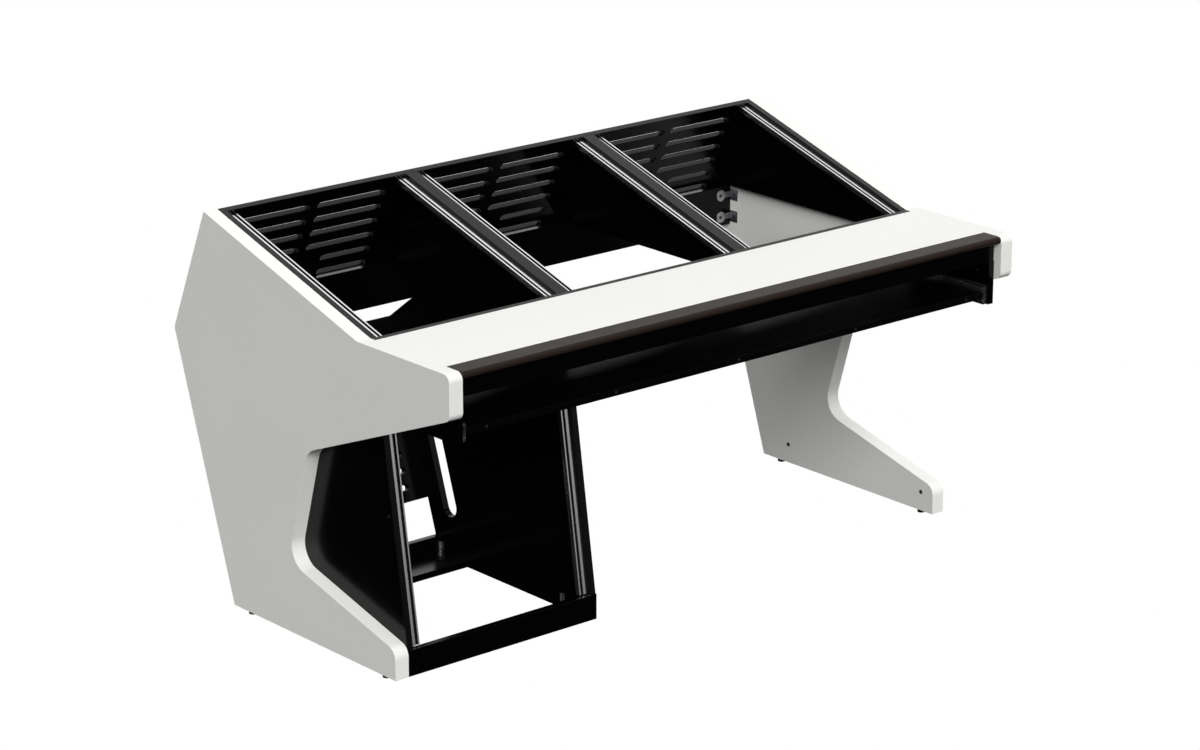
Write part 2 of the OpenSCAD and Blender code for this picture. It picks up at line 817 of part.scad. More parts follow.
// Threaded strip with the standard hole pattern, in the rail's T-slot
module strip(len) {
    units = floor((len - strip_margin) / unit_h);
    translate([slot_x, 0, -rail_drop - rail_face_t - play - strip_t]) difference() {
        translate([-strip_w / 2, play, 0]) cube([strip_w, len - 2 * play, strip_t]);
        for (u = [0:units - 1], h = unit_holes) translate([0, strip_margin + u * unit_h + h, -cut])
            cylinder(r = tap_r, h = strip_t + 2 * cut, $fn = 24);
    }
}
// Bay i seen from its left wall, and its mirror image from its right wall
module at_left(i) {
    translate([bay_x(i), 0, 0]) children();
}
module at_right(i) {
    translate([bay_x(i) + bay_w, 0, 0]) mirror([1, 0, 0]) children();
}
module bay_1_left_rail() color("silver") place() upper_slope() at_left(0) drilled_rail(rack_in);
module bay_1_right_rail() color("silver") place() upper_slope() at_right(0) drilled_rail(rack_in);
module bay_2_left_rail() color("silver") place() upper_slope() at_left(1) drilled_rail(rack_in);
module bay_2_right_rail() color("silver") place() upper_slope() at_right(1) drilled_rail(rack_in);
module bay_3_left_rail() color("silver") place() upper_slope() at_left(2) drilled_rail(rack_in);
module bay_3_right_rail() color("silver") place() upper_slope() at_right(2) drilled_rail(rack_in);
module lower_left_rail() color("silver") place() lower_rail_frame() at_left(0) drilled_rail(lower_rail_len);
module lower_right_rail() color("silver") place() lower_rail_frame() at_right(0) drilled_rail(lower_rail_len);
module strips(i) {
    color("darkgray") place() upper_slope() {
        at_left(i) strip(rack_in);
        at_right(i) strip(rack_in);
    }
}
module bay_1_strips() strips(0);
module bay_2_strips() strips(1);
module bay_3_strips() strips(2);
module lower_strips() {
    color("darkgray") place() lower_rail_frame() {
        at_left(0) strip(lower_rail_len);
        at_right(0) strip(lower_rail_len);
    }
}

// Bolts that hold the rails, with their heads sunk in the walls' hidden faces
module rail_bolt_row(len) {
    for (s = rail_bolt_s(len)) translate([-wall_t, s, -rail_drop - rail_h / 2]) {
        rod(seat, bolt_head_r - fit, bolt_head_h - seat);
        rod(seat, bolt_r - fit, wall_t + bolt_grip - cut);
    }
}
module rail_bolts() {
    color("#404040") place() {
        upper_slope() for (i = [0:2]) {
            at_left(i) rail_bolt_row(rack_in);
            at_right(i) rail_bolt_row(rack_in);
        }
        lower_rail_frame() {
            at_left(0) rail_bolt_row(lower_rail_len);
            at_right(0) rail_bolt_row(lower_rail_len);
        }
    }
}

// Levelling feet and the threaded inserts that they turn in
module foot_inserts() {
    color("silver") place() for (x = foot_x, y = foot_y) translate([x, y, 0]) difference() {
        cylinder(r = insert_r - fit, h = insert_len);
        translate([0, 0, -cut]) cylinder(r = stem_r + fit, h = insert_len + 2 * cut);
    }
}
module foot(x, y) {
    rim = 1.5;
    color("#101010") place() translate([x, y, 0]) {
        translate([0, 0, -foot_h]) cylinder(r1 = foot_r - rim, r2 = foot_r, h = rim);
        translate([0, 0, rim - foot_h]) cylinder(r = foot_r, h = foot_h - rim - seat);
        translate([0, 0, -foot_h + rim]) cylinder(r = stem_r, h = foot_h - rim + stem_len);
    }
}
module front_left_foot() foot(foot_x[0], foot_y[0]);
module rear_left_foot() foot(foot_x[0], foot_y[1]);
module front_right_foot() foot(foot_x[1], foot_y[0]);
module rear_right_foot() foot(foot_x[1], foot_y[1]);

left_side_panel();
right_side_panel();
left_outer_wall();
inner_rack_wall();
bay_2_left_wall();
bay_2_right_wall();
bay_3_left_wall();
bay_3_right_wall();
upper_back_panel();
lower_back_panel();
modesty_panel();
modesty_brackets();
bracket_screws();
rack_front_board();
desk_top();
sub_top();
armrest();
apron();
left_tray_hanger();
right_tray_hanger();
hanger_screws();
keyboard_tray();
tray_screws();
left_slide_outer();
left_slide_middle();
left_slide_inner();
right_slide_outer();
right_slide_middle();
right_slide_inner();
left_outer_balls();
left_inner_balls();
right_outer_balls();
right_inner_balls();
front_plinth();
base_board();
base_rail();
wall_cleats();
bay_1_left_rail();
bay_1_right_rail();
bay_2_left_rail();
bay_2_right_rail();
bay_3_left_rail();
bay_3_right_rail();
lower_left_rail();
lower_right_rail();
bay_1_strips();
bay_2_strips();
bay_3_strips();
lower_strips();
rail_bolts();
back_panel_screws();
panel_bolts();
foot_inserts();
front_left_foot();
rear_left_foot();
front_right_foot();
rear_right_foot();
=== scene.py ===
# %% [markdown]
# # A studio desk, dressed in Blender
#
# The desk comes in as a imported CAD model: boards, rails, slides and feet at their real size, each a
# named node on the body that it moves with. This script leaves the sizes alone and gives every piece
# its surface: softened edges, rolled and brushed metal, grained upholstery, screw heads and threads.
# The cells run from top to bottom, and each prints what it made.

import json
import math

import bmesh
import bpy
from mathutils import Euler, Matrix, Vector, noise

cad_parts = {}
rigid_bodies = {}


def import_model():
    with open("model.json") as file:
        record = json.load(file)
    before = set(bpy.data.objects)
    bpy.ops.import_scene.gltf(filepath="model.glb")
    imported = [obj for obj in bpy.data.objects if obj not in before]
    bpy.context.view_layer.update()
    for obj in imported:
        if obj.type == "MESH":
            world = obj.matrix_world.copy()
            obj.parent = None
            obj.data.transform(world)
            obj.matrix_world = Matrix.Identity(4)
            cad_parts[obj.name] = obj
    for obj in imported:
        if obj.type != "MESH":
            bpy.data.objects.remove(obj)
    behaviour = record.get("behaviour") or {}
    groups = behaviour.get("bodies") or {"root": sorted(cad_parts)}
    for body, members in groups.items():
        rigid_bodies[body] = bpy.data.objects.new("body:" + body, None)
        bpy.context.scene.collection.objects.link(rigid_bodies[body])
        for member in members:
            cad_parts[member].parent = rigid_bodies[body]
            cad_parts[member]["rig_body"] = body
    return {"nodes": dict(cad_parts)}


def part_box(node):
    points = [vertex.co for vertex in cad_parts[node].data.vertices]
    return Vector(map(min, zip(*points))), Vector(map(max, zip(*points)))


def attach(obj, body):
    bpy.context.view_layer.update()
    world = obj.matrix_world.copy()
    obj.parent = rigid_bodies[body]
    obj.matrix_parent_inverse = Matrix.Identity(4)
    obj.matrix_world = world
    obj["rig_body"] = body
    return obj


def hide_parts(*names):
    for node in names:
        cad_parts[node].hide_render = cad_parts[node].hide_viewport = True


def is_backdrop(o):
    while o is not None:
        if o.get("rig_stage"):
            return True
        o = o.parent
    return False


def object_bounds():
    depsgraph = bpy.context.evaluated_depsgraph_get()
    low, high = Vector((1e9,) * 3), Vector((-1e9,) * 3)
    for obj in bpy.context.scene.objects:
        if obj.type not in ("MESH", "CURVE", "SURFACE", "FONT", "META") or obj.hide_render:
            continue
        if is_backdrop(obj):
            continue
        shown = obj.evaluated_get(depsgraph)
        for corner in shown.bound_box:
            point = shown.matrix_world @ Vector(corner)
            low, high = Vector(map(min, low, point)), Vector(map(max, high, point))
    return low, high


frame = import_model()
cad_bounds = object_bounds()
nodes = frame["nodes"]
MM = 0.001

# %% [markdown]
# ## What the frame tells us
#
# Each node knows its body, and the record says which finish each node has. Groups such as the tray's
# five screws are one node with several loose solids, so a small helper takes a mesh apart into its
# islands and measures each. New pieces are then placed by those boxes instead of by typed numbers.

# %% Read bodies and loose solids
WELD = 0.002 * MM
body_of = {name: obj["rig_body"] for name, obj in nodes.items()}


def merged(name):
    """A bmesh of a CAD node with its loose triangles joined at their corners."""
    bm = bmesh.new()
    bm.from_mesh(nodes[name].data)
    bmesh.ops.remove_doubles(bm, verts=bm.verts, dist=WELD)
    return bm


def islands(name):
    """The lowest and highest corner of each loose solid in a CAD node."""
    bm = merged(name)
    left = set(bm.verts)
    boxes = []
    while left:
        todo = [left.pop()]
        found = []
        while todo:
            vert = todo.pop()
            found.append(vert.co)
            for edge in vert.link_edges:
                other = edge.other_vert(vert)
                if other in left:
                    left.remove(other)
                    todo.append(other)
        low = Vector([min(co[i] for co in found) for i in range(3)])
        high = Vector([max(co[i] for co in found) for i in range(3)])
        boxes.append((low, high))
    bm.free()
    return sorted(boxes, key=lambda pair: tuple(pair[0]))


print("tray screws:", len(islands("tray_screws")), " balls and cages:", len(islands("left_outer_balls")))

# %% [markdown]
# ## Camera
#
# The photograph was taken with a long lens from the front left, a little above the desk. Its place
# was found by matching the straight edges of the two side panels, so the camera is set by its
# position, its turn about the vertical and its downward tilt.

# %% Set the camera
camera_data = bpy.data.cameras.new("camera")
camera_data.sensor_width = 36
camera_data.lens = 114.498
camera_data.clip_end = 200
camera = bpy.data.objects.new("camera", camera_data)
camera.location = (-5.422324, -6.366844, 3.131320)
camera_turn = -40.4192
camera_tilt = 17.7368
camera.rotation_euler = (math.radians(90 - camera_tilt), 0, math.radians(camera_turn))
bpy.context.scene.collection.objects.link(camera)
bpy.context.scene.camera = camera
bpy.context.scene.view_settings.view_transform = "Standard"
print("camera", tuple(round(c, 2) for c in camera.location))

# %% [markdown]
# ## Shader arithmetic
#
# A material is a graph of nodes. Written call by call it is long and hard to read, so two small
# classes do the wiring. A Net adds nodes to a tree. It hands back a Wire, which is one output of a
# node, and arithmetic on a Wire adds Math nodes: 1 - dust * 0.2 builds two of them.

# %% Wires and nets
class Wire:
    """One output socket; arithmetic on it adds Math nodes to its net."""

    def __init__(self, net, socket):
        self.net = net
        self.socket = socket

    def math(self, operation, first, second=0.0):
        return self.net.node("ShaderNodeMath", {"operation": operation}, {0: first, 1: second})

    def __add__(self, other):
        return self.math("ADD", self, other)

    def __sub__(self, other):
        return self.math("SUBTRACT", self, other)

    def __mul__(self, other):
        return self.math("MULTIPLY", self, other)

    def __pow__(self, other):
        return self.math("POWER", self, other)

    def __rsub__(self, other):
        return self.math("SUBTRACT", other, self)

    __radd__ = __add__
    __rmul__ = __mul__

    def clamp(self):
        return self.net.node("ShaderNodeClamp", {}, {"Value": self})


class Net:
    """A node tree, with one method that adds and connects a node."""

    def __init__(self, tree):
        self.tree = tree

    def node(self, kind, settings, sockets, out=0):
        made = self.tree.nodes.new(kind)
        for key, value in settings.items():
            setattr(made, key, value)
        for key, value in sockets.items():
            if isinstance(value, Wire):
                self.tree.links.new(value.socket, made.inputs[key])
            else:
                made.inputs[key].default_value = value
        return Wire(self, made.outputs[out]) if len(made.outputs) else made


print("nets ready")

# %% [markdown]
# ## Finishes
#
# Each finish is a procedural material on Object coordinates, so its pattern keeps its real scale on
# every piece and stays put when a piece moves. A Finish is a net that already holds a Principled
# shader. Numbers that are the same everywhere are typed straight into its sockets, and only what
# varies over the surface is wired: colour, roughness and the bump that tilts the normal.

# %% The Finish class
class Finish(Net):
    """A material on Object coordinates, with helpers for the patterns that this desk needs."""

    def __init__(self, name, **uniform):
        self.material = bpy.data.materials.new(name)
        self.material.use_nodes = True
        super().__init__(self.material.node_tree)
        self.shader = self.tree.nodes["Principled BSDF"]
        self.place = self.node("ShaderNodeTexCoord", {}, {}, "Object")
        for key, value in uniform.items():
            self.shader.inputs[key.replace("_", " ")].default_value = value

    def stretch(self, sizes, turn=0.0):
        """Object coordinates divided by three pattern sizes in metres, turned about X first."""
        return self.node("ShaderNodeMapping", {"vector_type": "TEXTURE"},
                         {"Vector": self.place, "Rotation": (turn, 0, 0), "Scale": sizes})

    def noise(self, size, detail=2.0, place=None):
        """Noise from 0 to 1 whose blobs are about size metres across."""
        return self.node("ShaderNodeTexNoise", {},
                         {"Vector": place or self.place, "Scale": 1 / size, "Detail": detail})

    def cells(self, size, feature="SMOOTH_F1"):
        """Distance to the middle of the nearest cell, for grain and spangle."""
        return self.node("ShaderNodeTexVoronoi", {"feature": feature},
                         {"Vector": self.place, "Scale": 1 / size}, "Distance")

    def blend(self, amount, first, second):
        """A colour between two colours."""
        return self.node("ShaderNodeMix", {"data_type": "RGBA"},
                         {0: amount, 6: (*first, 1), 7: (*second, 1)}, 2)

    def wire(self, **sockets):
        """Connects what varies to the shader."""
        for key, value in sockets.items():
            self.tree.links.new(value.socket, self.shader.inputs[key.replace("_", " ")])

    def bump(self, height, depth):
        """Tilts the normal as if the surface rose and fell by depth metres."""
        self.wire(Normal=self.node("ShaderNodeBump", {}, {"Height": height, "Distance": depth}))


print("finish class ready")

# %% [markdown]
# ## Laminate, white and black
#
# The boards are particle board under a melamine skin. It isn't mirror flat: the press plate leaves a
# pearl texture of about a millimetre, and large sheets vary slightly in gloss. Two scales of noise
# give both. The white is a touch warm. The black swallows light when it is faced squarely and turns
# grey along its upper edges, which comes from the shader's own Fresnel reflection. The tray and the
# board behind the desk top have a matter black, because they show less of the sky.

# %% Make the laminates
def laminate(name, colour, shade, roughness, pearl, specular):
    """A pressed melamine skin: pearl is the size of its texture in metres."""
    finish = Finish(name, Specular_IOR_Level=specular)
    fine = finish.noise(pearl, 3.0)
    cloud = finish.noise(220 * MM, 2.0)
    finish.wire(Base_Color=finish.blend(cloud, colour, shade))
    finish.wire(Roughness=roughness + (fine - 0.5) * 0.10 + (cloud - 0.5) * 0.08)
    finish.bump(fine, 0.03 * MM)
    return finish.material


white_laminate = laminate("white_laminate", (0.800, 0.800, 0.772), (0.818, 0.818, 0.790),
                          0.42, 1.1 * MM, 0.25)
black_laminate = laminate("black_laminate", (0.0004, 0.0004, 0.0005), (0.0010, 0.0010, 0.0011),
                          0.19, 0.9 * MM, 0.20)
matt_laminate = laminate("matt_laminate", (0.0006, 0.0006, 0.0008), (0.0012, 0.0012, 0.0014),
                         0.32, 0.9 * MM, 0.10)
print("laminates:", white_laminate.name, black_laminate.name, matt_laminate.name)

# %% [markdown]
# ## Leatherette
#
# The armrest is foam under faux leather, a very dark brown. The embossed grain is a field of rounded
# pebbles, which smooth Voronoi cells give at once: the distance to a cell's middle is low on the
# pebble and high in the creases. Squaring it narrows the creases, and a finer noise breaks them up.
# The colour is also darker in the creases, which is painted shade.

# %% Make the leatherette
def leatherette():
    finish = Finish("brown_leatherette", Specular_IOR_Level=0.10)
    pebble = finish.cells(1.7 * MM)
    crease = (pebble * 1.3).clamp() ** 2
    pores = finish.noise(0.4 * MM, 2.0)
    tired = finish.noise(120 * MM, 3.0)
    # The colour darkens in the creases as painted shade, and it varies at random over larger patches.
    finish.wire(Base_Color=finish.blend(crease * 0.6 + tired * 0.4,
                                        (0.021, 0.0135, 0.0108), (0.013, 0.0084, 0.0068)))
    finish.wire(Roughness=0.36 + crease * 0.12 + (tired - 0.5) * 0.10)
    finish.bump(1 - crease * 0.8 - pores * 0.2, 0.09 * MM)
    return finish.material


armrest_cover = leatherette()
print("leatherette:", len(armrest_cover.node_tree.nodes), "nodes")

# %% [markdown]
# ## Metals and plastic
#
# The rack rails are natural anodised extrusions: fine die lines run along them, so the noise is
# stretched along the rail's own direction. Zinc plate is cloudy with small spangles, black oxide is
# duller, and the slides are rolled sheet. The rack strips are painted a matt near black, which is
# painted shade that keeps the slots over them dark. The feet are moulded plastic with a sparked texture.

# %% Make the metals and the plastic
def drawn_aluminium(name, turn):
    """Anodised bar whose die lines run along Y turned by an angle about X."""
    finish = Finish(name, Metallic=1.0)
    lines = finish.noise(1.0, 2.0, finish.stretch((0.6 * MM, 160 * MM, 0.6 * MM), turn))
    bloom = finish.noise(50 * MM, 2.0)
    finish.wire(Base_Color=finish.blend(lines * 0.7 + bloom * 0.3,
                                        (0.84, 0.85, 0.86), (0.96, 0.97, 0.98)))
    finish.wire(Roughness=0.17 + lines * 0.11)
    finish.bump(lines, 0.04 * MM)
    return finish.material


def plated(name, bright, dark, roughness, spangle, metallic=1.0, specular=0.5):
    """Plated or blackened steel; spangle is the size of its faint crystals in metres."""
    finish = Finish(name, Metallic=metallic, Specular_IOR_Level=specular)
    crystal = finish.cells(spangle, "F1")
    cloud = finish.noise(spangle * 6, 3.0)
    finish.wire(Base_Color=finish.blend((crystal * 0.5 + cloud * 0.5).clamp(), bright, dark))
    finish.wire(Roughness=roughness + (cloud - 0.5) * 0.16)
    finish.bump(crystal, 0.01 * MM)
    return finish.material


def moulded(name, colour, shade):
    """Sparked black plastic."""
    finish = Finish(name, Specular_IOR_Level=0.45)
    spark = finish.noise(0.5 * MM, 3.0)
    finish.wire(Base_Color=finish.blend(spark, colour, shade))
    finish.wire(Roughness=0.46 + spark * 0.16)
    finish.bump(spark, 0.03 * MM)
    return finish.material


# The strips' near-black colour is painted shade: it keeps the rails' slots dark, where shade falls.
strip_painted_shade = plated("phosphated_strip_steel", (0.005, 0.005, 0.0055), (0.003, 0.003, 0.0035),
                     0.60, 3 * MM, metallic=0.0, specular=0.05)
zinc_plate = plated("zinc_plate", (0.60, 0.61, 0.63), (0.42, 0.43, 0.46), 0.34, 4 * MM)
bright_slide = plated("rolled_slide_steel", (0.80, 0.81, 0.82), (0.62, 0.63, 0.64), 0.30, 6 * MM)
dark_slide = plated("dark_slide_steel", (0.075, 0.075, 0.08), (0.045, 0.045, 0.05),
                    0.36, 6 * MM, metallic=0.8)
black_oxide = plated("black_oxide", (0.012, 0.012, 0.013), (0.006, 0.006, 0.007),
                     0.48, 2 * MM, metallic=0.3)
ball_steel = plated("bearing_steel", (0.72, 0.72, 0.73), (0.60, 0.60, 0.61), 0.16, 3 * MM)
foot_plastic = moulded("foot_plastic", (0.010, 0.010, 0.011), (0.018, 0.018, 0.019))
print("six metals and one plastic; the aluminium follows with the rails")

# %% [markdown]
# ## Finishing a piece
#
# Every new piece ends the same way: it takes its material, rides on the body of the node that it
# stands for, and hides that node. Smooth shading with sharp edges kept over forty degrees makes a
# rounded corner look round while flat faces stay flat. Three kinds of piece are drawn as a stack of
# rings, so one function joins such rings with faces and closes both ends.

# %% The finishing helpers
SHARP = math.radians(40)


def finish_piece(obj, material, *replaced, slot=None, even=False):
    """Gives a new piece its material, shading and body, and hides the nodes that it stands for."""
    obj.data.materials.clear()
    obj.data.materials.append(material)
    obj.data.shade_smooth()
    obj.data.set_sharp_from_angle(angle=SHARP)
    if even:
        even_shading(obj)
    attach(obj, body_of[replaced[0]])
    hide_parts(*replaced)
    return obj


def keep_result(obj):
    """Makes what an object's modifiers show its own mesh, and takes the modifiers off."""
    bpy.context.view_layer.update()
    ready = obj.evaluated_get(bpy.context.evaluated_depsgraph_get())
    mesh = bpy.data.meshes.new_from_object(ready)
    obj.modifiers.clear()
    obj.data = mesh


def even_shading(obj):
    """Lets each large face keep its own normal, so that only the bevels round off."""
    modifier = obj.modifiers.new("even_shading", "WEIGHTED_NORMAL")
    modifier.keep_sharp = True
    keep_result(obj)


def add_mesh(name, bm):
    """Turns a bmesh into an object at the origin."""
    mesh = bpy.data.meshes.new(name)
    bm.to_mesh(mesh)
    bm.free()
    obj = bpy.data.objects.new(name, mesh)
    bpy.context.scene.collection.objects.link(obj)
    return obj


def skin(bm, rings):
    """Joins each ring of vertices to the next one by faces, and closes both ends."""
    for first, second in zip(rings, rings[1:]):
        for i in range(len(first)):
            j = (i + 1) % len(first)
            bm.faces.new((first[i], first[j], second[j], second[i]))
    bm.faces.new(list(reversed(rings[0])))
    bm.faces.new(rings[-1])


print("finishing helpers ready")

# %% [markdown]
# ## Boards
#
# A sawn and edge-banded board never has a knife edge: the banding is trimmed with a small radius,
# and that radius is what catches the light along every edge of the real desk. The CAD boards are
# sharp, so each is copied, its triangles are joined into flat faces and every edge over forty
# degrees gets a bevel. A bevel only takes material away, so the board's outer size stays the same.
# Clamping keeps a bevel from crossing its neighbour, but the short edges in the vents' round ends
# would clamp it to nothing. There it is safe to switch off, because round a hole the bevel spreads.

# %% Bevel a copy of a CAD node
FLAT = math.radians(0.4)


def eased(name, radius, material, segments=2, clamp=True):
    """A copy of a CAD node with its sharp edges eased by a radius in metres."""
    bm = merged(name)
    bmesh.ops.dissolve_limit(bm, angle_limit=FLAT, verts=bm.verts, edges=bm.edges)
    edges = [e for e in bm.edges if e.is_manifold and e.calc_face_angle(0.0) > SHARP]
    bmesh.ops.bevel(bm, geom=edges, offset=radius, offset_type="OFFSET", segments=segments,
                    profile=0.5, affect="EDGES", clamp_overlap=clamp)
    return finish_piece(add_mesh("eased_" + name, bm), material, name, even=True)


WHITE_EASE = 1.2 * MM
BLACK_EASE = 0.8 * MM
VENT_EASE = 0.9 * MM
WHITE_BOARDS = ("left_side_panel", "right_side_panel", "desk_top")
BLACK_BOARDS = ("left_outer_wall", "inner_rack_wall", "bay_2_left_wall", "bay_2_right_wall",
                "bay_3_left_wall", "bay_3_right_wall", "modesty_panel",
                "sub_top", "apron", "left_tray_hanger", "right_tray_hanger",
                "front_plinth", "base_board", "base_rail")
MATT_BOARDS = ("keyboard_tray", "rack_front_board")
VENTED_BOARDS = ("upper_back_panel", "lower_back_panel")
for name in WHITE_BOARDS:
    eased(name, WHITE_EASE, white_laminate, 3)
for name in BLACK_BOARDS:
    eased(name, BLACK_EASE, black_laminate)
for name in VENTED_BOARDS:
    eased(name, VENT_EASE, black_laminate, clamp=False)
for name in MATT_BOARDS:
    eased(name, BLACK_EASE, matt_laminate)
print(len(WHITE_BOARDS) + len(BLACK_BOARDS) + len(MATT_BOARDS) + len(VENTED_BOARDS), "boards eased")

# %% [markdown]
# ## Geometry Nodes for what repeats
#
# Rails, screws and threads follow rules, so they are grown by node trees. Each tree is built here
# with named inputs, put on a carrier object as a modifier, evaluated once, and its result is kept as
# a plain mesh. The helper below sets inputs by their identifiers, which is what a modifier stores.

# %% Tree and modifier helpers
class Grower(Net):
    """A Geometry Nodes tree with named inputs."""

    def __init__(self, name, inputs):
        super().__init__(bpy.data.node_groups.new(name, "GeometryNodeTree"))
        face = self.tree.interface
        face.new_socket("Geometry", in_out="INPUT", socket_type="NodeSocketGeometry")
        for label, kind in inputs.items():
            face.new_socket(label, in_out="INPUT", socket_type="NodeSocket" + kind)
        face.new_socket("Geometry", in_out="OUTPUT", socket_type="NodeSocketGeometry")
        self.given = self.tree.nodes.new("NodeGroupInput")
        self.ids = {item.name: item.identifier for item in face.items_tree if item.in_out == "INPUT"}

    def input(self, label):
        return Wire(self, self.given.outputs[label])

    def output(self, geometry):
        """Ends the tree: instances become real, and the material is set."""
        real = self.node("GeometryNodeRealizeInstances", {}, {"Geometry": geometry})
        dressed = self.node("GeometryNodeSetMaterial", {},
                            {"Geometry": real, "Material": self.input("Finish")})
        end = self.tree.nodes.new("NodeGroupOutput")
        self.tree.links.new(dressed.socket, end.inputs["Geometry"])

    def grow(self, name, carrier, **values):
        """Runs the tree on a carrier mesh and returns the grown mesh as an object."""
        obj = bpy.data.objects.new(name, carrier)
        bpy.context.scene.collection.objects.link(obj)
        modifier = obj.modifiers.new(name, "NODES")
        modifier.node_group = self.tree
        for label, value in values.items():
            modifier[self.ids[label.replace("_", " ")]] = value
        keep_result(obj)
        obj.data.name = name
        return obj


def weld(obj):
    """Joins a grown mesh at its corners and turns its faces outwards."""
    bm = bmesh.new()
    bm.from_mesh(obj.data)
    bmesh.ops.remove_doubles(bm, verts=bm.verts, dist=WELD)
    bmesh.ops.recalc_face_normals(bm, faces=bm.faces)
    bm.to_mesh(obj.data)
    bm.free()


print("growers ready")

# %% [markdown]
# ## Rack rails
#
# A rack rail is one extruded section: a wide face, a slot that shows the threaded strip, a narrow lip
# and a T-shaped channel under them. The section is drawn once as a closed curve and swept along a
# line by Curve to Mesh. The wide face is slightly crowned, so light runs along it in bands, as on
# the real extrusion, and the lips thin out towards the slot, which keeps it dark.

# %% Draw the section of a rail
SLOT_LIP = 7.55 * MM
SLOT_HALF = 3.3 * MM
CHANNEL_HALF = 5.2 * MM
FACE_T = 2.2 * MM
LIP_T = 0.6 * MM
CHANNEL_H = 4.4 * MM
CROWN = 0.45 * MM
CROWN_STEPS = 16
CORNER = 0.8 * MM
CHAMFER = 0.3 * MM


def rail_section(width, height, side):
    """Closed outline of a rail: x from its wall, y down from its face; side -1 mirrors it."""
    slot = width - SLOT_LIP
    wide = slot - SLOT_HALF
    points = [(0.0, height), (0.0, CROWN)]
    for i in range(1, CROWN_STEPS):
        share = i / CROWN_STEPS
        points.append((wide * share, CROWN * (2 * share - 1) ** 2))
    points += [
        (wide - CHAMFER, CROWN), (wide, CROWN + CHAMFER), (wide, LIP_T),
        (slot - CHANNEL_HALF, FACE_T), (slot - CHANNEL_HALF, FACE_T + CHANNEL_H),
        (slot + CHANNEL_HALF, FACE_T + CHANNEL_H), (slot + CHANNEL_HALF, FACE_T),
        (slot + SLOT_HALF, LIP_T), (slot + SLOT_HALF, CHAMFER), (slot + SLOT_HALF + CHAMFER, 0.0)]
    for i in range(7):
        angle = math.radians(90 - 15 * i)
        points.append((width - CORNER + CORNER * math.cos(angle), CORNER - CORNER * math.sin(angle)))
    points += [(width, height - CORNER), (width - CORNER, height)]
    return [(side * x, y) for x, y in points]


def section_curve(name, points):
    """A closed poly curve in the XY plane for Curve to Mesh."""
    data = bpy.data.curves.new(name, "CURVE")
    data.dimensions = "3D"
    spline = data.splines.new("POLY")
    spline.points.add(len(points) - 1)
    for point, (x, y) in zip(spline.points, points):
        point.co = (x, y, 0, 1)
    spline.use_cyclic_u = True
    curve = bpy.data.objects.new(name, data)
    bpy.context.scene.collection.objects.link(curve)
    return curve


print("slot of the rails:", round(2 * SLOT_HALF / MM, 1), "mm wide")

# %% Sweep the eight rails
rail_grower = Grower("rail", {"Section": "Object", "Length": "Float", "Finish": "Material"})
far_end = rail_grower.node("ShaderNodeCombineXYZ", {}, {"Z": rail_grower.input("Length")})
run = rail_grower.node("GeometryNodeCurvePrimitiveLine", {"mode": "POINTS"}, {"End": far_end})
outline = rail_grower.node("GeometryNodeObjectInfo", {},
                           {"Object": rail_grower.input("Section")}, "Geometry")
rail_grower.output(rail_grower.node("GeometryNodeCurveToMesh", {},
                                    {"Curve": run, "Profile Curve": outline, "Fill Caps": True}))
RAILS = [f"bay_{bay}_{side}_rail" for bay in (1, 2, 3) for side in ("left", "right")]
RAILS += ["lower_left_rail", "lower_right_rail"]


def rail_line(name):
    """Foot and head of a rail's outer face from the side: its frontmost and its highest corner."""
    corners = [v.co for v in nodes[name].data.vertices]
    foot = min(corners, key=lambda co: co.y)
    head = max(corners, key=lambda co: co.z)
    return Vector((0, foot.y, foot.z)), Vector((0, head.y, head.z))


aluminium_at = {}
for name in RAILS:
    low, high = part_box(name)
    foot, head = rail_line(name)
    along = (head - foot).normalized()
    lean = math.atan2(along.z, along.y)
    degrees = round(math.degrees(lean))
    if degrees not in aluminium_at:
        aluminium_at[degrees] = drawn_aluminium(f"drawn_aluminium_{degrees}", lean)
    across = high.x - low.x
    side = 1 if "left" in name else -1
    wall = low.x if side > 0 else high.x
    down = along.cross(Vector((1, 0, 0)))
    thick = ((high.z - low.z) - (head - foot).length * math.sin(lean)) / math.cos(lean)
    section = section_curve("section", rail_section(across, thick, side))
    rail = rail_grower.grow("dressed_" + name, bpy.data.meshes.new(name),
                            Section=section, Length=(head - foot).length, Finish=aluminium_at[degrees])
    bpy.data.objects.remove(section)
    place = Matrix((Vector((1, 0, 0)), down, along)).transposed().to_4x4()
    place.translation = Vector((wall, foot.y, foot.z))
    rail.data.transform(place)
    weld(rail)
    finish_piece(rail, aluminium_at[degrees], name)
print(len(RAILS), "rails, thickness", round(thick / MM, 2), "mm, leaning at", sorted(aluminium_at))

# %% [markdown]
# ## Threaded strips, brackets and cleats
#
# The strips lie in the rails' channels and show through the slots. Their near-black colour is painted
# shade that keeps the slots dark. The brackets, the cleats and the feet's inserts are zinc plated. A
# small ease on their edges is all that these pieces need, because their shape is already right.

# %% Ease the steel pieces
STRIP_EASE = 0.15 * MM
ZINC_EASE = 0.3 * MM
STRIPS = ("bay_1_strips", "bay_2_strips", "bay_3_strips", "lower_strips")
for name in STRIPS:
    eased(name, STRIP_EASE, strip_painted_shade, 1)
for name in ("modesty_brackets", "wall_cleats", "foot_inserts"):
    eased(name, ZINC_EASE, zinc_plate)
print("strips, brackets, cleats and inserts eased")

# %% [markdown]
# ## Armrest
#
# The armrest is a narrow board wrapped in foam and leatherette, flush with the desk top at the back
# and rounded at the front. It is lofted: one closed section is repeated at many stations along the
# desk. The cover is pulled tight, so the section only sinks by a fraction of a millimetre here and
# there, and it is tucked in at both ends and along its rear edge.

# %% Draw the armrest's section, its stations and its sag
FRONT_R = 8.5 * MM
REAR_R = 2.0 * MM
LEAST_R = 0.1 * MM
FRONT_STEPS = 10
REAR_STEPS = 4
TUCK = 3.0 * MM
RING_STEP = 4 * MM
STATION_STEP = 9 * MM
SAG = 0.22 * MM
PUCKER = 0.10 * MM


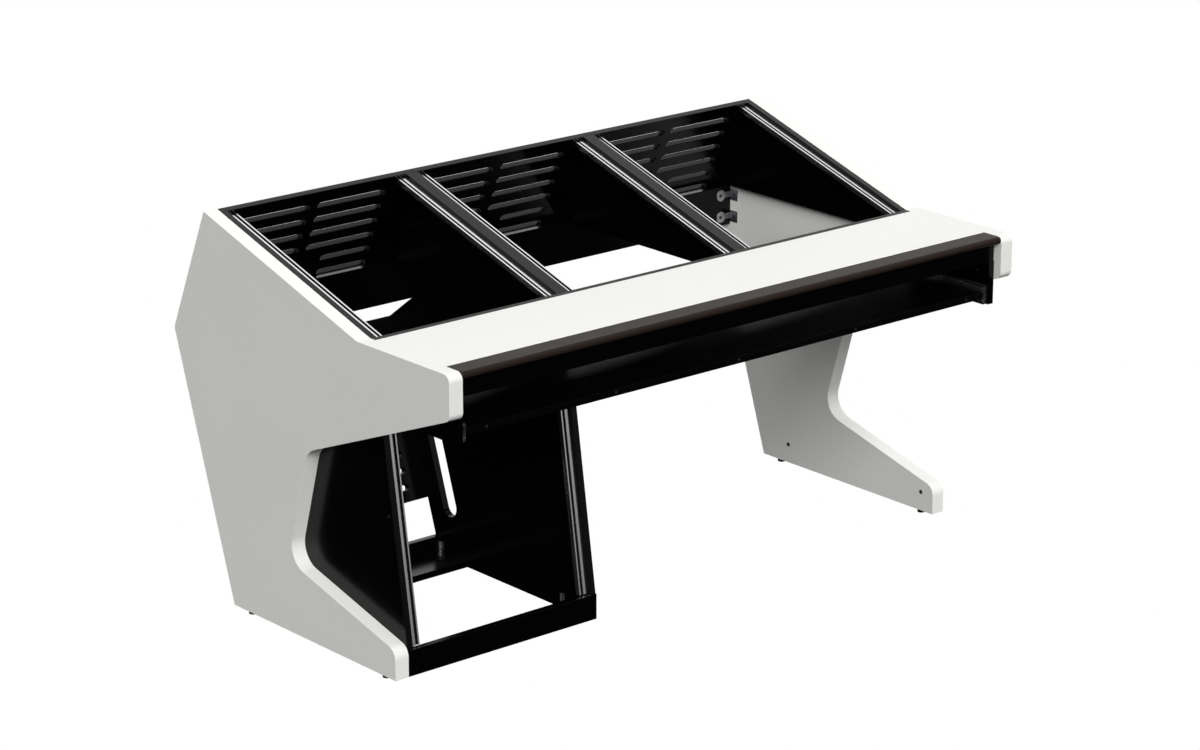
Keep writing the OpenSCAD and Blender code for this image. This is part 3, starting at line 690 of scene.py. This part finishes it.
def armrest_section(low, high, shrink):
    """Closed side-view outline of the armrest, drawn in by shrink on every side."""
    corners = [(low.y, low.z, FRONT_R), (low.y, high.z, FRONT_R), (high.y, high.z, REAR_R),
               (high.y, low.z, REAR_R)]
    points = []
    for (y, z, radius), first_angle in zip(corners, (270, 180, 90, 0)):
        centre_y = y + radius if y == low.y else y - radius
        centre_z = z + radius if z == low.z else z - radius
        steps = FRONT_STEPS if radius == FRONT_R else REAR_STEPS
        for i in range(steps + 1):
            angle = math.radians(first_angle - 90 * i / steps)
            points.append((centre_y + (radius - shrink) * math.cos(angle),
                           centre_z + (radius - shrink) * math.sin(angle)))
    full = []
    for i, (y, z) in enumerate(points):
        next_y, next_z = points[(i + 1) % len(points)]
        gap = math.hypot(next_y - y, next_z - z)
        parts = max(1, round(gap / RING_STEP))
        full += [(y + (next_y - y) * k / parts, z + (next_z - z) * k / parts) for k in range(parts)]
    return full


def stations(low, high):
    """Places along the desk, close together where the ends curve in."""
    ends = [TUCK * (1 - math.cos(math.radians(15 * i))) for i in range(7)]
    middle = high.x - low.x - 2 * TUCK
    count = round(middle / STATION_STEP)
    xs = [low.x + e for e in ends]
    xs += [low.x + TUCK + middle * i / count for i in range(1, count)]
    return xs + [high.x - e for e in reversed(ends)]


def sunk(x, y, z):
    """How far the cover sinks at a place: long shallow sags with shorter puckers on them."""
    sag = noise.noise(Vector((x * 14, y * 45, z * 45)))
    pucker = noise.noise(Vector((x * 60, y * 90, z * 90 + 7)))
    return SAG * (0.5 + 0.5 * sag) + PUCKER * (0.5 + 0.5 * pucker)


print("armrest edges:", round(FRONT_R / MM, 1), "mm in front,", round(REAR_R / MM, 1), "mm behind")

# %% Loft the armrest
low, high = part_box("armrest")
middle_y = (low.y + high.y) / 2
middle_z = (low.z + high.z) / 2
bm = bmesh.new()
rings = []
for x in stations(low, high):
    edge = min(x - low.x, high.x - x)
    short = TUCK - min(edge, TUCK)
    shrink = min(TUCK - math.sqrt(TUCK ** 2 - short ** 2), REAR_R - LEAST_R)
    ring = []
    for y, z in armrest_section(low, high, shrink):
        sink = sunk(x, y, z)
        share_y = (y - middle_y) / (high.y - low.y)
        share_z = (z - middle_z) / (high.z - low.z)
        out = Vector((0, share_y, share_z)).normalized()
        ring.append(bm.verts.new((x, y - out.y * sink, z - out.z * sink)))
    rings.append(ring)
skin(bm, rings)
bmesh.ops.recalc_face_normals(bm, faces=bm.faces)
armrest = finish_piece(add_mesh("padded_armrest", bm), armrest_cover, "armrest")
print("armrest:", len(rings), "stations,", len(armrest.data.polygons), "faces")

# %% [markdown]
# ## Screws
#
# All screw heads are low domes with a hexagon socket. One head is modelled as stacked rings, in
# which the socket's rings follow a hexagon, and a node tree sets a copy on each point, turned to face
# along the point's own aim. The points come from the islands of the CAD screws.

# %% Model one screw head and the tree that repeats it
HEX_FLAT = 0.87


def screw_head(name, sides=24):
    """A dome of radius 1 and height 1 with a hexagon socket, standing on its flat face."""
    bm = bmesh.new()
    rings = []
    shape = [(1.0, 0.0, False), (1.0, 0.25, False), (0.93, 0.62, False), (0.72, 0.93, False),
             (0.52, 1.0, False), (0.46, 1.0, True), (0.42, 0.92, True), (0.42, 0.15, True)]
    for radius, height, is_socket in shape:
        ring = []
        for i in range(sides):
            angle = 2 * math.pi * i / sides
            reach = 1 / math.cos((angle % (math.pi / 3)) - math.pi / 6) * HEX_FLAT if is_socket else 1
            x = radius * reach * math.cos(angle)
            y = radius * reach * math.sin(angle)
            ring.append(bm.verts.new((x, y, height)))
        rings.append(ring)
    skin(bm, rings)
    return add_mesh(name, bm)


head = screw_head("head")
screw_grower = Grower("screws", {"Head": "Object", "Radius": "Float", "Height": "Float",
                                 "Finish": "Material"})
aim = screw_grower.node("GeometryNodeInputNamedAttribute", {"data_type": "FLOAT_VECTOR"},
                        {"Name": "aim"}, "Attribute")
turn = screw_grower.node("FunctionNodeAlignRotationToVector", {"axis": "Z"}, {"Vector": aim})
head_radius = screw_grower.input("Radius")
size = screw_grower.node("ShaderNodeCombineXYZ", {}, {
    "X": head_radius, "Y": head_radius, "Z": screw_grower.input("Height")})
copy = screw_grower.node("GeometryNodeObjectInfo", {},
                         {"Object": screw_grower.input("Head")}, "Geometry")
screw_grower.output(screw_grower.node("GeometryNodeInstanceOnPoints", {}, {
    "Points": screw_grower.input("Geometry"), "Instance": copy, "Rotation": turn, "Scale": size}))


def points_mesh(name, places, aims):
    """A mesh of bare points, each with the direction that its screw faces."""
    mesh = bpy.data.meshes.new(name)
    mesh.from_pydata(places, [], [])
    mesh.attributes.new("aim", "FLOAT_VECTOR", "POINT")
    for item, value in zip(mesh.attributes["aim"].data, aims):
        item.vector = value
    return mesh


def screws(name, places, aims, radius, height, material):
    """Heads for one CAD node of screws."""
    made = screw_grower.grow("heads_" + name, points_mesh(name, places, aims),
                             Head=head, Radius=radius, Height=height, Finish=material)
    return finish_piece(made, material, name)


print("one head:", len(head.data.polygons), "faces")

# %% Find which way a screw looks
FRONT = Vector((0, -1, 0))
LEFT = Vector((-1, 0, 0))
RIGHT = Vector((1, 0, 0))


def middle_of(box):
    return (box[0] + box[1]) / 2


def inward(box):
    """The direction from a side of the desk to its middle."""
    return RIGHT if middle_of(box).x < 0 else LEFT


def bracket_aim(box):
    """A bracket's screw that is flat in Y faces the front, and one that is flat in X faces inwards."""
    spread = box[1] - box[0]
    return FRONT if spread.y < spread.x else inward(box)


def outer_face(box, aim):
    """The middle of the box's face that aim looks out of."""
    spread = (box[1] - box[0]) / 2
    return middle_of(box) + Vector([aim[i] * spread[i] for i in range(3)])


print("the first bracket screw looks along", tuple(bracket_aim(islands("bracket_screws")[0])))

# %% Set the screws of the tray, the legs, the brackets and the hangers
TRAY_HEAD_R = 3.5 * MM
BOLT_HEAD_R = 5 * MM
HEAD_R = 4 * MM
HEAD_T = 1.6 * MM
boxes = islands("tray_screws")
tray_head_t = boxes[0][1].y - boxes[0][0].y
screws("tray_screws", [outer_face(b, -FRONT) for b in boxes], [FRONT] * len(boxes),
       TRAY_HEAD_R, tray_head_t, black_oxide)

boxes = islands("panel_bolts")
screws("panel_bolts", [outer_face(b, LEFT) - LEFT * HEAD_T for b in boxes], [LEFT] * len(boxes),
       BOLT_HEAD_R, HEAD_T, black_oxide)

boxes = islands("bracket_screws")
aims = [bracket_aim(b) for b in boxes]
screws("bracket_screws", [outer_face(b, -a) for b, a in zip(boxes, aims)], aims,
       HEAD_R, HEAD_T, black_oxide)

boxes = islands("hanger_screws")
aims = [inward(b) for b in boxes]
screws("hanger_screws", [outer_face(b, a) - a * HEAD_T for b, a in zip(boxes, aims)], aims,
       HEAD_R, HEAD_T, black_oxide)
print("heads on the tray are", round(tray_head_t / MM, 2), "mm thick")

# %% Set the screws of the back panels
def rear_normal(name):
    """The direction that the large rear face of a board looks in."""
    area = {}
    for face in nodes[name].data.polygons:
        facing = tuple(round(c, 3) for c in face.normal)
        if facing[1] > 0.3:
            area[facing] = area.get(facing, 0) + face.area
    return Vector(max(area, key=area.get)).normalized()


BUTTON_T = 0.9 * MM
boxes = islands("back_panel_screws")
split_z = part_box("lower_back_panel")[1].z
panels = ["upper_back_panel" if middle_of(b).z > split_z else "lower_back_panel" for b in boxes]
aims = [rear_normal(panel) for panel in panels]
screws("back_panel_screws", [middle_of(b) - a * BUTTON_T / 2 for b, a in zip(boxes, aims)], aims,
       HEAD_R, BUTTON_T, black_oxide)
bpy.data.objects.remove(head)
print("heads on the back panels:", len(boxes))

# %% [markdown]
# ## Slides and rail bolts
#
# The tray hangs on two ball slides. Their members are rolled channels, so a tiny ease rounds the rims
# and the steel is bright on the members that slide and dark on the one that is screwed down. The
# balls and the hidden rail bolts only need smooth shading, because their shape is already right.

# %% Finish the slides
def smoothed(name, material):
    """A copy of a CAD node that keeps its shape and gets smooth shading."""
    return finish_piece(add_mesh("smooth_" + name, merged(name)), material, name)


SLIDE_EASE = 0.25 * MM
for side in ("left", "right"):
    eased(f"{side}_slide_outer", SLIDE_EASE, dark_slide)
    eased(f"{side}_slide_middle", SLIDE_EASE, bright_slide)
    eased(f"{side}_slide_inner", SLIDE_EASE, bright_slide)
    smoothed(f"{side}_outer_balls", ball_steel)
    smoothed(f"{side}_inner_balls", ball_steel)
smoothed("rail_bolts", black_oxide)
print("six slide members, four ball rows")

# %% [markdown]
# ## Levelling feet
#
# A levelling foot is a moulded pad on a threaded steel stem. The pad is turned: its outline is spun
# round the stem's axis. Ribs for the fingers stand round it, and the thread is a small triangle swept
# along a helix; both are grown by node trees, because they follow a rule.

# %% Trees for the thread and the ribs
thread_grower = Grower("thread", {"Turns": "Float", "Radius": "Float", "Height": "Float",
                                  "Depth": "Float", "Finish": "Material"})
round_stem = thread_grower.input("Radius")
helix = thread_grower.node("GeometryNodeCurveSpiral", {}, {
    "Resolution": 14, "Rotations": thread_grower.input("Turns"),
    "Start Radius": round_stem, "End Radius": round_stem, "Height": thread_grower.input("Height")})
ridge = thread_grower.node("GeometryNodeCurvePrimitiveCircle", {}, {
    "Resolution": 3, "Radius": thread_grower.input("Depth")})
thread_grower.output(thread_grower.node("GeometryNodeCurveToMesh", {},
                                        {"Curve": helix, "Profile Curve": ridge, "Fill Caps": True}))

rib_grower = Grower("ribs", {"Count": "Int", "Radius": "Float", "Height": "Float",
                             "Width": "Float", "Finish": "Material"})
circle = rib_grower.node("GeometryNodeMeshCircle", {}, {
    "Vertices": rib_grower.input("Count"), "Radius": rib_grower.input("Radius")})
bar = rib_grower.node("GeometryNodeMeshCylinder", {}, {
    "Vertices": 8, "Radius": rib_grower.input("Width"), "Depth": rib_grower.input("Height")})
rib_grower.output(rib_grower.node("GeometryNodeInstanceOnPoints", {},
                                  {"Points": circle, "Instance": bar}))
print("thread and rib trees ready")

# %% Helpers for turned pieces
FOOT_SIDES = 48


def turned(name, outline, centre):
    """A closed body of revolution about Z; outline is a list of (radius, height) from bottom to top."""
    bm = bmesh.new()
    rings = []
    for radius, height in outline:
        ring = []
        for i in range(FOOT_SIDES):
            angle = 2 * math.pi * i / FOOT_SIDES
            x = centre.x + radius * math.cos(angle)
            y = centre.y + radius * math.sin(angle)
            ring.append(bm.verts.new((x, y, centre.z + height)))
        rings.append(ring)
    skin(bm, rings)
    return add_mesh(name, bm)


def join_into(obj, other):
    """Adds another object's mesh to obj's mesh and removes that object."""
    bm = bmesh.new()
    bm.from_mesh(obj.data)
    bm.from_mesh(other.data)
    bpy.data.objects.remove(other)
    bm.to_mesh(obj.data)
    bm.free()


print("turned pieces have", FOOT_SIDES, "sides")

# %% Turn the four feet
PAD_H = 11.7 * MM
STEM_R = 3.5 * MM
THREAD = 0.45 * MM
PITCH = 1.25 * MM
RIBS = 30
RIB_H = 7.4 * MM
RIB_FOOT = 1.8 * MM
STEM_SUNK = 1 * MM
STEM_TIP = 1 * MM
THREAD_GAP = 0.5 * MM
THREAD_ENDS = 2 * MM
for name in [n for n in nodes if n.endswith("_foot")]:
    low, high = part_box(name)
    centre = Vector(((low.x + high.x) / 2, (low.y + high.y) / 2, low.z))
    r = (high.x - low.x) / 2
    pad = turned("pad_" + name, [
        (r * 0.80, 0), (r * 0.92, 0.5 * MM), (r * 0.965, 1.6 * MM), (r * 0.965, 9.4 * MM),
        (r * 0.91, 10.8 * MM), (r * 0.76, PAD_H)], centre)
    ribs = rib_grower.grow("ribs", bpy.data.meshes.new("ribs"), Count=RIBS, Radius=r * 0.945,
                           Height=RIB_H, Width=r * 0.05, Finish=foot_plastic)
    ribs.data.transform(Matrix.Translation(centre + Vector((0, 0, RIB_FOOT + RIB_H / 2))))
    join_into(pad, ribs)
    finish_piece(pad, foot_plastic, name)
    stem_h = high.z - low.z
    stem = turned("stem_" + name, [(STEM_R, PAD_H - STEM_SUNK), (STEM_R, stem_h - STEM_TIP),
                                   (STEM_R * 0.8, stem_h)], centre)
    turns = (stem_h - PAD_H - THREAD_ENDS) / PITCH
    thread = thread_grower.grow("thread", bpy.data.meshes.new("thread"), Turns=turns, Radius=STEM_R,
                                Height=turns * PITCH, Depth=THREAD, Finish=black_oxide)
    thread.data.transform(Matrix.Translation(centre + Vector((0, 0, PAD_H + THREAD_GAP))))
    weld(thread)
    join_into(stem, thread)
    finish_piece(stem, black_oxide, name, slot="black_steel")
print("four feet with", RIBS, "ribs and M8 stems each")

# %% [markdown]
# ## Floor and light
#
# The photograph is a cut-out on white: the floor shows no shadow. So the floor glows evenly and is
# left out of the light on the desk by its ray visibility. The light itself is a bright sky that is
# stronger at the back right, where the upper edges mirror it, and one very soft key from the front
# left. The sky fades out towards the horizon and nothing shines from below, so faces that mirror the
# floor stay dark. Only at the front right does it reach lower, where the upright rails mirror it.

# %% Make the floor
FLOOR = 60
bm = bmesh.new()
bmesh.ops.create_grid(bm, x_segments=1, y_segments=1, size=FLOOR)
floor = add_mesh("floor", bm)
floor_material = bpy.data.materials.new("floor_glow")
floor_material.use_nodes = True
floor_net = Net(floor_material.node_tree)
floor_net.tree.nodes.clear()
light = floor_net.node("ShaderNodeEmission", {}, {"Color": (1, 1, 1, 1), "Strength": 1.0})
floor_net.node("ShaderNodeOutputMaterial", {}, {"Surface": light})
floor.data.materials.append(floor_material)
floor.visible_diffuse = False
floor.visible_glossy = False
floor.visible_transmission = False
floor.visible_shadow = False
floor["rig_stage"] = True
print("floor", 2 * FLOOR, "m across")

# %% Make the sky and the key light
SKY_FRONT = 0.42
SKY_BACK = 1.15
SKY_BELOW = 0.01
SKY_FADE = 5
SKY_START = 0.1
FRONT_REACH = 1.2
FRONT_FOCUS = 6
KEY = 2.9
KEY_SPREAD = 36
KEY_TURN = 30
KEY_HEIGHT = 33
world = bpy.data.worlds.new("sky")
world.use_nodes = True
bpy.context.scene.world = world
sky = Net(world.node_tree)
sky.tree.nodes.clear()
way = sky.node("ShaderNodeTexCoord", {}, {}, "Generated")
split = sky.node("ShaderNodeSeparateXYZ", {}, {"Vector": way}).socket.node
east, north, level = [Wire(sky, split.outputs[axis]) for axis in "XYZ"]
back = east * 0.65 + north * 0.75
front = (east * 0.62 - north * 0.78).clamp() ** FRONT_FOCUS
above = (level * SKY_FADE - SKY_START + front * FRONT_REACH).clamp()
behind = (back * 0.5 + 0.5).clamp() ** 2
power = SKY_BELOW + above * (SKY_FRONT - SKY_BELOW + (SKY_BACK - SKY_FRONT) * behind)
sky_light = sky.node("ShaderNodeBackground", {}, {"Color": (1, 1, 1, 1), "Strength": power})
sky.node("ShaderNodeOutputWorld", {}, {"Surface": sky_light})

key_data = bpy.data.lights.new("key", "SUN")
key_data.energy = KEY
key_data.angle = math.radians(KEY_SPREAD)
key = bpy.data.objects.new("key", key_data)
key.rotation_euler = Euler((math.radians(90 - KEY_HEIGHT), 0, math.radians(-KEY_TURN)))
bpy.context.scene.collection.objects.link(key)
print("sky", SKY_FRONT, "to", SKY_BACK, " key", KEY)

# %% [markdown]
# ## Size
#
# The last cell prints how far the corners of the dressed desk moved from those of the CAD model.

# %% Print how far the corners moved
seen_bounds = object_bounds()
change = [(a - b).length for a, b in zip(cad_bounds, seen_bounds)]
print("corners moved by", [round(c / MM, 3) for c in change], "mm")
